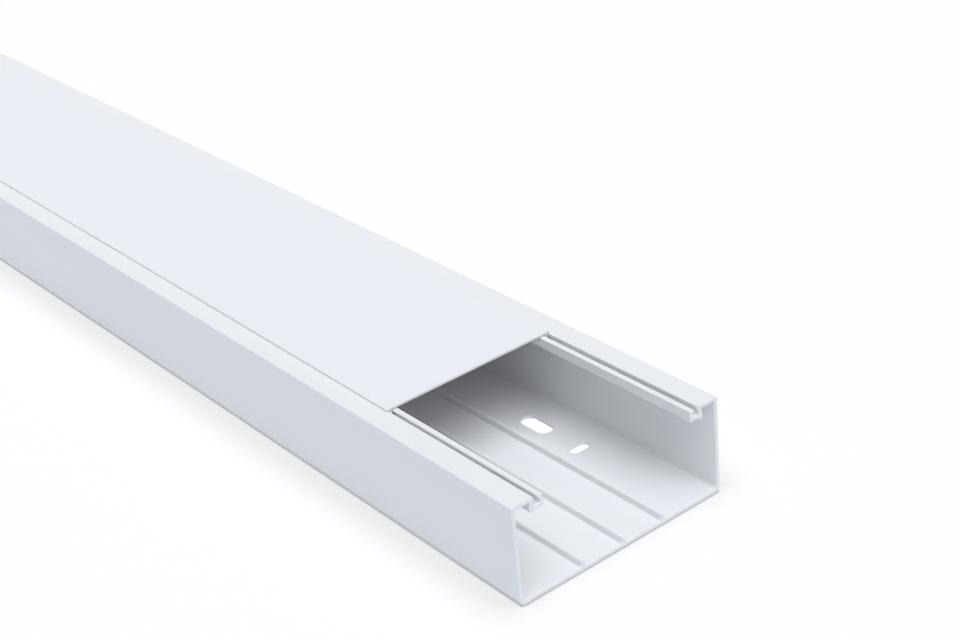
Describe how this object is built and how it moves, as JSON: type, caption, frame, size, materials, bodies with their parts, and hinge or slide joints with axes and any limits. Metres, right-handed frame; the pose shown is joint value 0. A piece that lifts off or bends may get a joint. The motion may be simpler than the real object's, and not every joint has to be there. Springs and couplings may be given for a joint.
{
  "type": "cable trunking",
  "caption": "White plastic cable trunking: an open channel with grooved rails, floor ribs and fixing slots, and a flat snap-in lid slid back along it.",
  "frame": {"origin": "middle of the channel's back face, the face that goes against the wall", "axes": "+X along the channel out of its open end, +Y across it, +Z out of the wall towards the lid"},
  "size_m": [2.1, 0.12, 0.0514],
  "materials": {
    "base_pvc": "satin",
    "lid_pvc": "satin"
  },
  "bodies": {
    "base": {"base": "base_pvc"},
    "lid": {"lid": "lid_pvc"}
  },
  "joints": [
    {"name": "lid_slide", "type": "slide", "parent": "base", "child": "lid", "axis": [1, 0, 0], "range_m": [-0.9, 0.1]}
  ]
}
